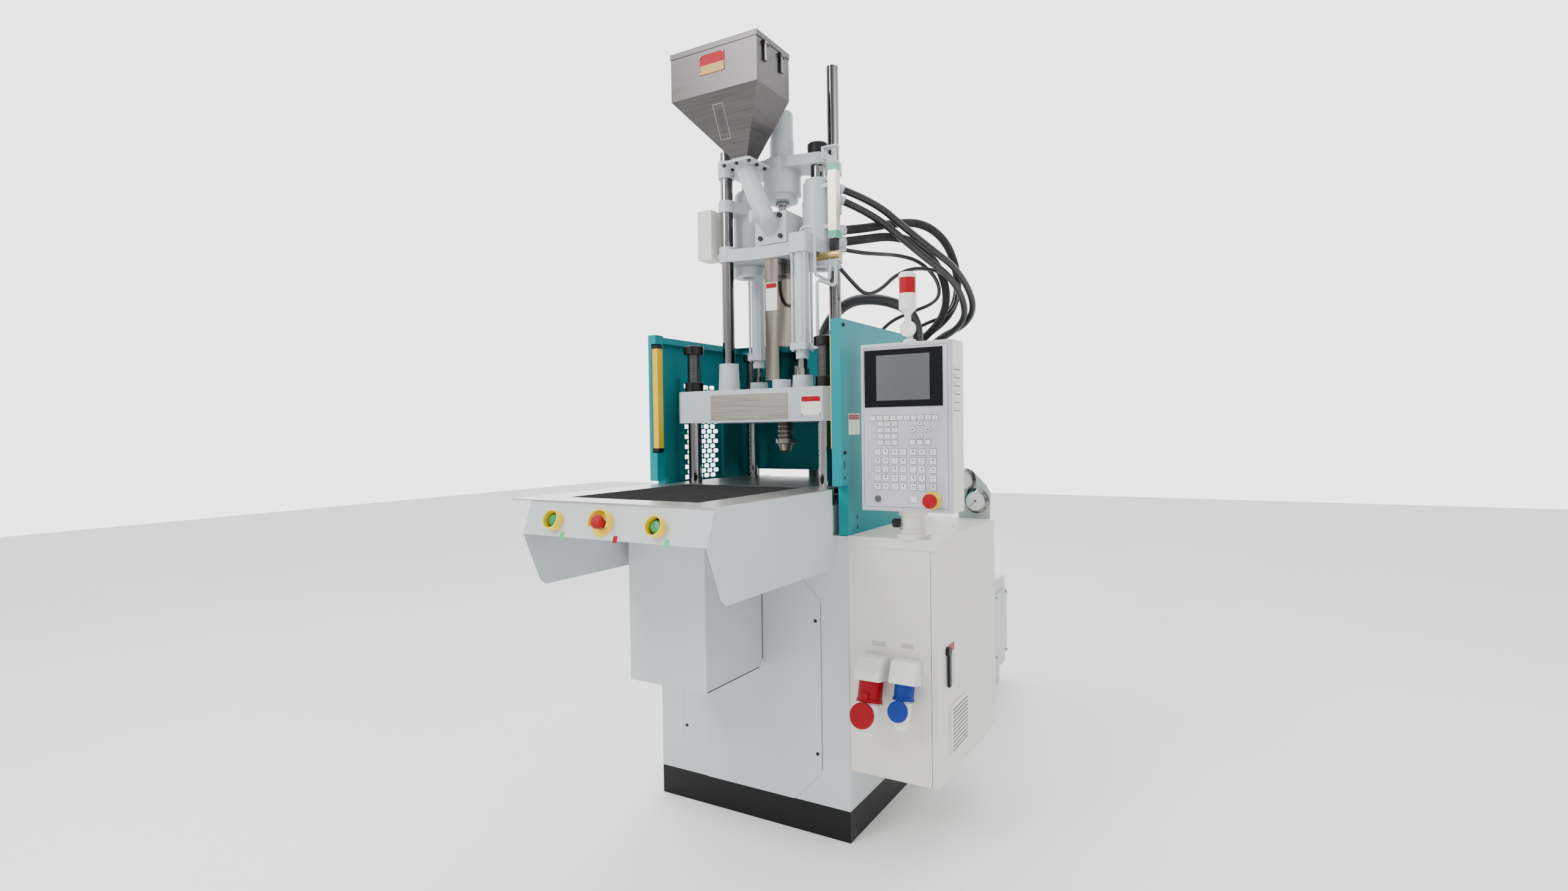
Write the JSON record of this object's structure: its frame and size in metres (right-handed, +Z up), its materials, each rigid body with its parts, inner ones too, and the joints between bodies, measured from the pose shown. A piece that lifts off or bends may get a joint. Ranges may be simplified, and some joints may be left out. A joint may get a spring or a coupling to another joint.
{
  "type": "vertical injection moulding machine",
  "caption": "Vertical injection moulding machine with sliding front table, hopper-fed injection unit on guide rods, guards, control box, cabinet and rear oil tank",
  "frame": {"origin": "on the floor under the nozzle", "axes": "+X to the operator's right, +Y to the rear, +Z up"},
  "size_m": [1.19, 2.8032, 2.833],
  "materials": {
    "light_grey": "semi-gloss paint",
    "casting_grey": "painted casting",
    "cream": "textured paint",
    "black_paint": "semi-matt paint",
    "teal": "semi-gloss paint",
    "yellow": "gloss paint",
    "stainless": "brushed",
    "hard_chrome": "hard chromed",
    "steel": "machined",
    "black_plastic": "moulded",
    "white_plastic": "moulded",
    "red_plastic": "moulded",
    "green_plastic": "moulded",
    "socket_colours": "moulded, one red and one blue",
    "blue_plastic": "moulded",
    "bellows_cloth": "coated cloth",
    "rubber_black": "smooth rubber",
    "aluminium": "anodised"
  },
  "bodies": {
    "base": {"plinth": "black_paint", "pedestal": "light_grey", "lower_platen": "casting_grey", "table_top": "stainless", "table_skirt": "light_grey", "post_cover": "light_grey", "guard_left": "teal", "guard_right": "teal", "guard_back": "teal", "light_curtains": "yellow", "button_guards": "yellow", "cabinet": "cream", "socket_housings": "white_plastic", "socket_collars": "socket_colours", "socket_plugs": "white_plastic", "panel_post": "casting_grey", "oil_tank": "light_grey", "hydraulic_unit": "casting_grey", "gauge_bracket": "black_paint", "hose_arch": "rubber_black", "hose_long_a": "rubber_black", "hose_long_b": "rubber_black", "hose_loop": "rubber_black", "hose_sleeve_a": "rubber_black", "hose_sleeve_b": "rubber_black", "hose_thin": "rubber_black"},
    "sliding_table": {"slide_plate": "steel", "bellows": "bellows_cloth"},
    "left_button": {"start_button_left": "green_plastic"},
    "right_button": {"start_button_right": "green_plastic"},
    "stop_button": {"table_stop_button": "red_plastic"},
    "platen": {"upper_platen": "casting_grey", "tie_bars": "hard_chrome", "tie_nuts": "black_paint", "platen_rods": "hard_chrome"},
    "injection_unit": {"carriage": "casting_grey", "barrel": "steel", "barrel_cover": "stainless", "touch_cylinders": "casting_grey", "hopper": "stainless", "feed_tube": "casting_grey", "junction_box": "cream", "transducer": "aluminium", "hydraulic_pipes": "casting_grey"},
    "lid": {"hopper_lid": "stainless"},
    "front_latch": {"latch_front": "hard_chrome"},
    "rear_latch": {"latch_rear": "hard_chrome"},
    "crosshead_unit": {"crosshead": "casting_grey", "piston_rods": "hard_chrome", "hydraulic_motor": "casting_grey"},
    "screw_unit": {"screw": "steel"},
    "panel": {"control_box": "cream", "front_panel": "white_plastic"},
    "panel_button": {"panel_stop_button": "red_plastic"},
    "lamp": {"alarm_lamp": "white_plastic"},
    "door": {"cabinet_door": "cream"},
    "handle": {"door_handle": "black_plastic"},
    "red_lid": {"red_flap": "socket_colours"},
    "blue_lid": {"blue_flap": "blue_plastic"}
  },
  "joints": [
    {"name": "platen_slide", "type": "slide", "parent": "base", "child": "platen", "axis": [0, 0, 1], "range_m": [-0.08, 0.12], "deforming": ["hose_long_a", "hose_long_b", "hose_loop", "hose_sleeve_a", "hose_sleeve_b", "hose_thin"]},
    {"name": "nozzle_contact_slide", "type": "slide", "parent": "platen", "child": "injection_unit", "axis": [0, 0, 1], "range_m": [0, 0.08]},
    {"name": "injection_slide", "type": "slide", "parent": "injection_unit", "child": "crosshead_unit", "axis": [0, 0, 1], "range_m": [-0.015, 0.03]},
    {"name": "screw_turn", "type": "hinge", "parent": "crosshead_unit", "child": "screw_unit", "pos_m": [0, 0, 2.3], "axis": [0, 0, 1], "continuous": true},
    {"name": "lid_hinge", "type": "hinge", "parent": "injection_unit", "child": "lid", "pos_m": [-0.2943, -0.203, 2.797], "axis": [0, -1, 0], "range_deg": [0, 100]},
    {"name": "front_latch_hinge", "type": "hinge", "parent": "injection_unit", "child": "front_latch", "pos_m": [0.0933, -0.262, 2.787], "axis": [0, -1, 0], "range_deg": [0, 110]},
    {"name": "rear_latch_hinge", "type": "hinge", "parent": "injection_unit", "child": "rear_latch", "pos_m": [0.0933, -0.15, 2.787], "axis": [0, -1, 0], "range_deg": [0, 110]},
    {"name": "table_slide", "type": "slide", "parent": "base", "child": "sliding_table", "axis": [0, -1, 0], "range_m": [0, 0.5], "deforming": ["bellows"]},
    {"name": "left_button_press", "type": "slide", "parent": "base", "child": "left_button", "axis": [0, 0.9387, -0.3448], "range_m": [0, 0.004], "stiffness_N_per_m": 400},
    {"name": "right_button_press", "type": "slide", "parent": "base", "child": "right_button", "axis": [0, 0.9387, -0.3448], "range_m": [0, 0.004], "stiffness_N_per_m": 400},
    {"name": "stop_button_press", "type": "slide", "parent": "base", "child": "stop_button", "axis": [0, 0.9387, -0.3448], "range_m": [0, 0.004], "stiffness_N_per_m": 400},
    {"name": "panel_swivel", "type": "hinge", "parent": "base", "child": "panel", "pos_m": [0.6205, -0.238, 1.141], "axis": [0, 0, 1], "range_deg": [-40, 60]},
    {"name": "panel_stop_press", "type": "slide", "parent": "panel", "child": "panel_button", "axis": [0, 1, 0], "range_m": [0, 0.004], "stiffness_N_per_m": 400},
    {"name": "lamp_fold", "type": "hinge", "parent": "panel", "child": "lamp", "pos_m": [0.6205, -0.262, 1.733], "axis": [0, 1, 0], "range_deg": [0, 90]},
    {"name": "door_hinge", "type": "hinge", "parent": "base", "child": "door", "pos_m": [0.717, 0.377, 0.6], "axis": [0, 0, 1], "range_deg": [0, 110]},
    {"name": "handle_turn", "type": "hinge", "parent": "door", "child": "handle", "pos_m": [0.72, -0.197, 0.676], "axis": [1, 0, 0], "range_deg": [-90, 0]},
    {"name": "red_flap_hinge", "type": "hinge", "parent": "base", "child": "red_lid", "pos_m": [0.506, -0.39146, 0.53181], "axis": [-1, 0, 0], "range_deg": [0, 80], "stiffness_Nm_per_rad": 0.02},
    {"name": "blue_flap_hinge", "type": "hinge", "parent": "base", "child": "blue_lid", "pos_m": [0.619, -0.36996, 0.54859], "axis": [-1, 0, 0], "range_deg": [0, 80], "stiffness_Nm_per_rad": 0.02}
  ]
}
